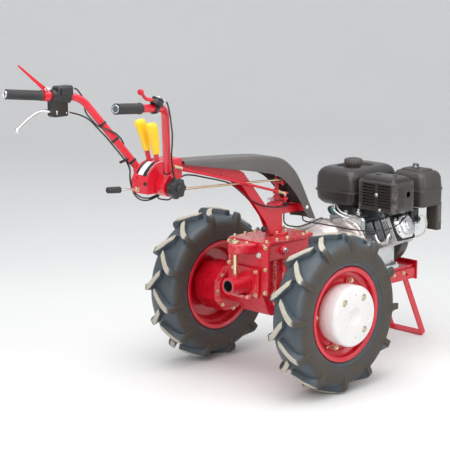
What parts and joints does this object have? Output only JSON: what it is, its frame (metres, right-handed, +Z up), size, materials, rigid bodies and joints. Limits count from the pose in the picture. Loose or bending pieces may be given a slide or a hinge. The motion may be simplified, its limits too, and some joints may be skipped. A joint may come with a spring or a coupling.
{
  "type": "walking tractor",
  "caption": "Walk-behind farm tractor with lugged tyres, wheel weights, front petrol engine, rear hitch socket and a swinging, tilting handlebar.",
  "frame": {"origin": "middle of the bounding box's base, on the ground under the machine's centre plane", "axes": "+X forward from the handlebar to the engine, +Y to the operator's left along the axle, +Z up"},
  "size_m": [1.873, 0.86, 1.2312],
  "materials": {
    "red_paint": "gloss enamel",
    "cream_paint": "satin off-white paint",
    "tyre_rubber": "matt rubber",
    "grip_rubber": "ribbed soft rubber",
    "cover_plastic": "satin brown-grey",
    "black_plastic": "satin black",
    "black_paint": "semi-gloss black",
    "yellow_plastic": "gloss yellow",
    "cast_aluminium": "as-cast, satin",
    "zinc_steel": "yellow zinc plate",
    "bright_steel": "bright plated"
  },
  "bodies": {
    "chassis": {"gearbox_casing": "red_paint", "left_final_drive": "red_paint", "right_final_drive": "red_paint", "hitch_bracket": "red_paint", "hitch_pin": "zinc_steel", "clutch_housing": "cast_aluminium", "engine_block": "cast_aluminium", "cylinder": "cast_aluminium", "valve_cover": "bright_steel", "fuel_tank": "black_paint", "fuel_cap": "black_plastic", "tank_bracket": "black_paint", "muffler_guard": "black_paint", "exhaust_pipe": "cast_aluminium", "air_cleaner": "black_plastic", "carburettor": "cast_aluminium", "recoil_starter": "black_paint", "engine_plate": "red_paint", "left_frame_rail": "red_paint", "right_frame_rail": "red_paint", "front_plate": "red_paint", "column_post": "red_paint", "housing_cable": "black_plastic", "engine_cable": "black_plastic"},
    "wheel_left": {"left_tyre": "tyre_rubber", "left_rim": "red_paint", "left_hub": "red_paint", "left_wheel_weight": "cream_paint"},
    "wheel_right": {"right_tyre": "tyre_rubber", "right_rim": "red_paint", "right_hub": "red_paint", "right_wheel_weight": "cream_paint"},
    "column": {"steering_column": "red_paint", "column_cover": "cover_plastic", "console": "red_paint", "shift_lever": "red_paint", "shift_knob": "yellow_plastic", "drive_lever": "red_paint", "drive_knob": "yellow_plastic", "selector_levers": "red_paint", "lock_rod": "zinc_steel", "lock_handle": "grip_rubber", "shift_rod": "red_paint", "column_lock_knob": "black_plastic", "column_cable": "black_plastic"},
    "handlebars": {"left_handlebar": "red_paint", "right_handlebar": "red_paint", "left_grip": "grip_rubber", "right_grip": "grip_rubber", "handlebar_bolt": "bright_steel", "clamp_knob": "black_plastic", "control_box": "black_plastic", "clutch_lever": "red_paint", "brake_lever": "bright_steel", "throttle_lever": "red_paint", "brake_cable": "black_plastic", "clutch_cable": "black_plastic", "throttle_cable": "black_plastic"},
    "stand": {"parking_stand": "red_paint"}
  },
  "joints": [
    {"name": "left_wheel_spin", "type": "hinge", "parent": "chassis", "child": "wheel_left", "pos_m": [0.07804, 0.33, 0.3], "axis": [0, 1, 0], "continuous": true},
    {"name": "right_wheel_spin", "type": "hinge", "parent": "chassis", "child": "wheel_right", "pos_m": [0.07804, -0.33, 0.3], "axis": [0, 1, 0], "continuous": true},
    {"name": "column_swing", "type": "hinge", "parent": "chassis", "child": "column", "pos_m": [0.11104, 0, 0.552], "axis": [0, 0, 1], "range_deg": [-15, 15]},
    {"name": "handlebar_tilt", "type": "hinge", "parent": "column", "child": "handlebars", "pos_m": [-0.51396, 0, 0.809], "axis": [0, 1, 0], "range_deg": [-20, 20]},
    {"name": "stand_fold", "type": "hinge", "parent": "chassis", "child": "stand", "pos_m": [0.78404, 0, 0.287], "axis": [0, 1, 0], "range_deg": [0, 95]}
  ]
}
